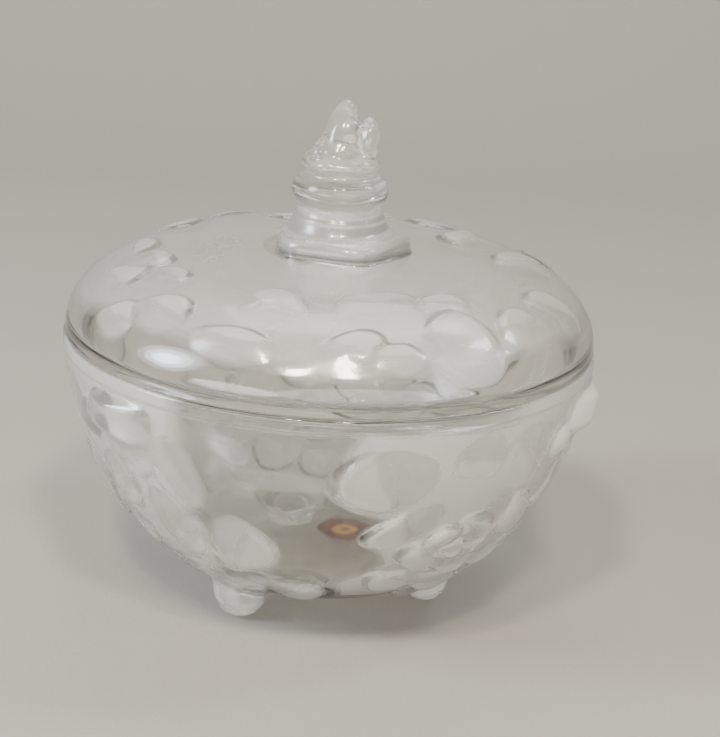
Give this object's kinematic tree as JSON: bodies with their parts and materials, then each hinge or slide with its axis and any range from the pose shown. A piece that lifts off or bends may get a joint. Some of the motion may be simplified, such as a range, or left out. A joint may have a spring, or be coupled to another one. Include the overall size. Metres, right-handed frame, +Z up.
{
  "type": "covered candy dish",
  "caption": "Round covered glass candy dish with petal relief, short toe feet, a lift-off domed lid with a rosebud knob and a small foil label.",
  "frame": {"origin": "centre of the plane that the toes stand on, under the bowl's axis", "axes": "+Z up along the bowl's axis; -Y towards the front, +X to the right"},
  "size_m": [0.1683, 0.1687, 0.16],
  "materials": {
    "clear_glass": "pressed glass, clear with satin petals",
    "foil": "printed foil"
  },
  "bodies": {
    "bowl": {"bowl": "clear_glass", "label": "foil"},
    "lid": {"lid": "clear_glass"}
  },
  "joints": [
    {"name": "lid_lift", "type": "slide", "parent": "bowl", "child": "lid", "axis": [0, 0, 1], "range_m": [0, 0.12]}
  ]
}
